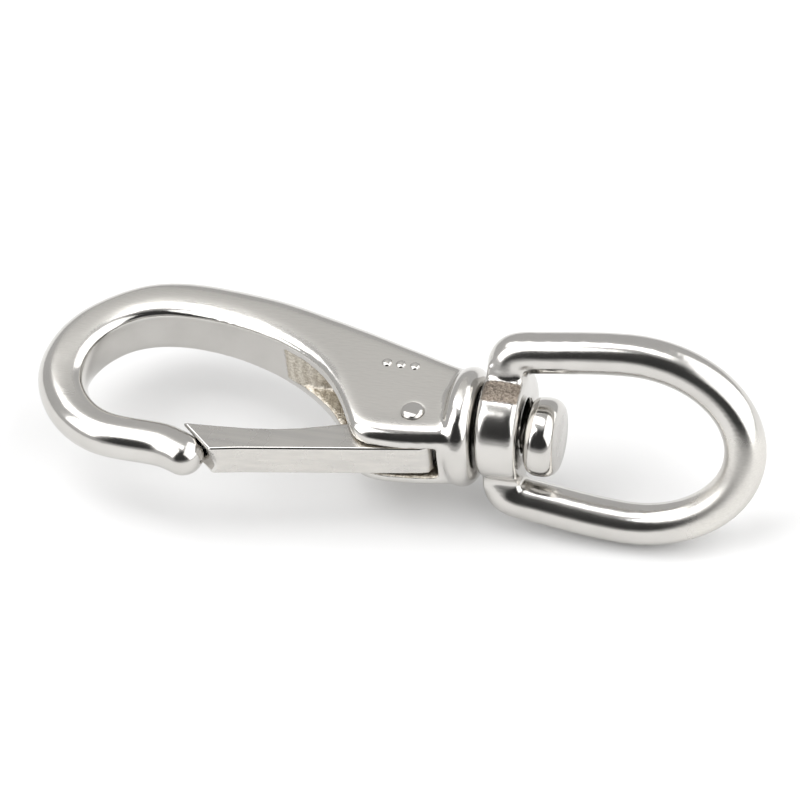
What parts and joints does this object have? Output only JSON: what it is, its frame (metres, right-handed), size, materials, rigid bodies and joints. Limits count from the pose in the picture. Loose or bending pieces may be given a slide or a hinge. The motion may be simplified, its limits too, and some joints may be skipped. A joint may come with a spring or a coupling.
{
  "type": "swivel hook",
  "caption": "Cast stainless snap hook with a spring-closed gate that seats on the hook's nose and a loose swivelling eye held by a button-headed stud.",
  "frame": {"origin": "middle of the underside of the object's box, as it lies with the hook's flat side up", "axes": "+X along the swivel axis from the hook's bow to the eye, +Y from the gate to the hook's spine, +Z out of the flat side of the hook"},
  "size_m": [0.099, 0.0314, 0.0267],
  "materials": {
    "polished_stainless": "polished, satin on the flat sides",
    "spring_wire": "drawn spring wire"
  },
  "bodies": {
    "hook": {"hook_body": "polished_stainless", "gate_pin": "polished_stainless", "gate_spring": "spring_wire", "swivel_stud": "polished_stainless"},
    "gate": {"gate": "polished_stainless"},
    "eye": {"swivel_eye": "polished_stainless"}
  },
  "joints": [
    {"name": "gate_hinge", "type": "hinge", "parent": "hook", "child": "gate", "pos_m": [0.00342, -0.00469, 0.01228], "axis": [0, 0, -1], "range_deg": [0, 28], "stiffness_Nm_per_rad": 0.08, "springref_deg": -34.38, "deforming": ["gate_spring"]},
    {"name": "eye_swivel", "type": "hinge", "parent": "hook", "child": "eye", "pos_m": [0.01482, -0.00097, 0.01336], "axis": [1, 0, 0], "continuous": true}
  ]
}
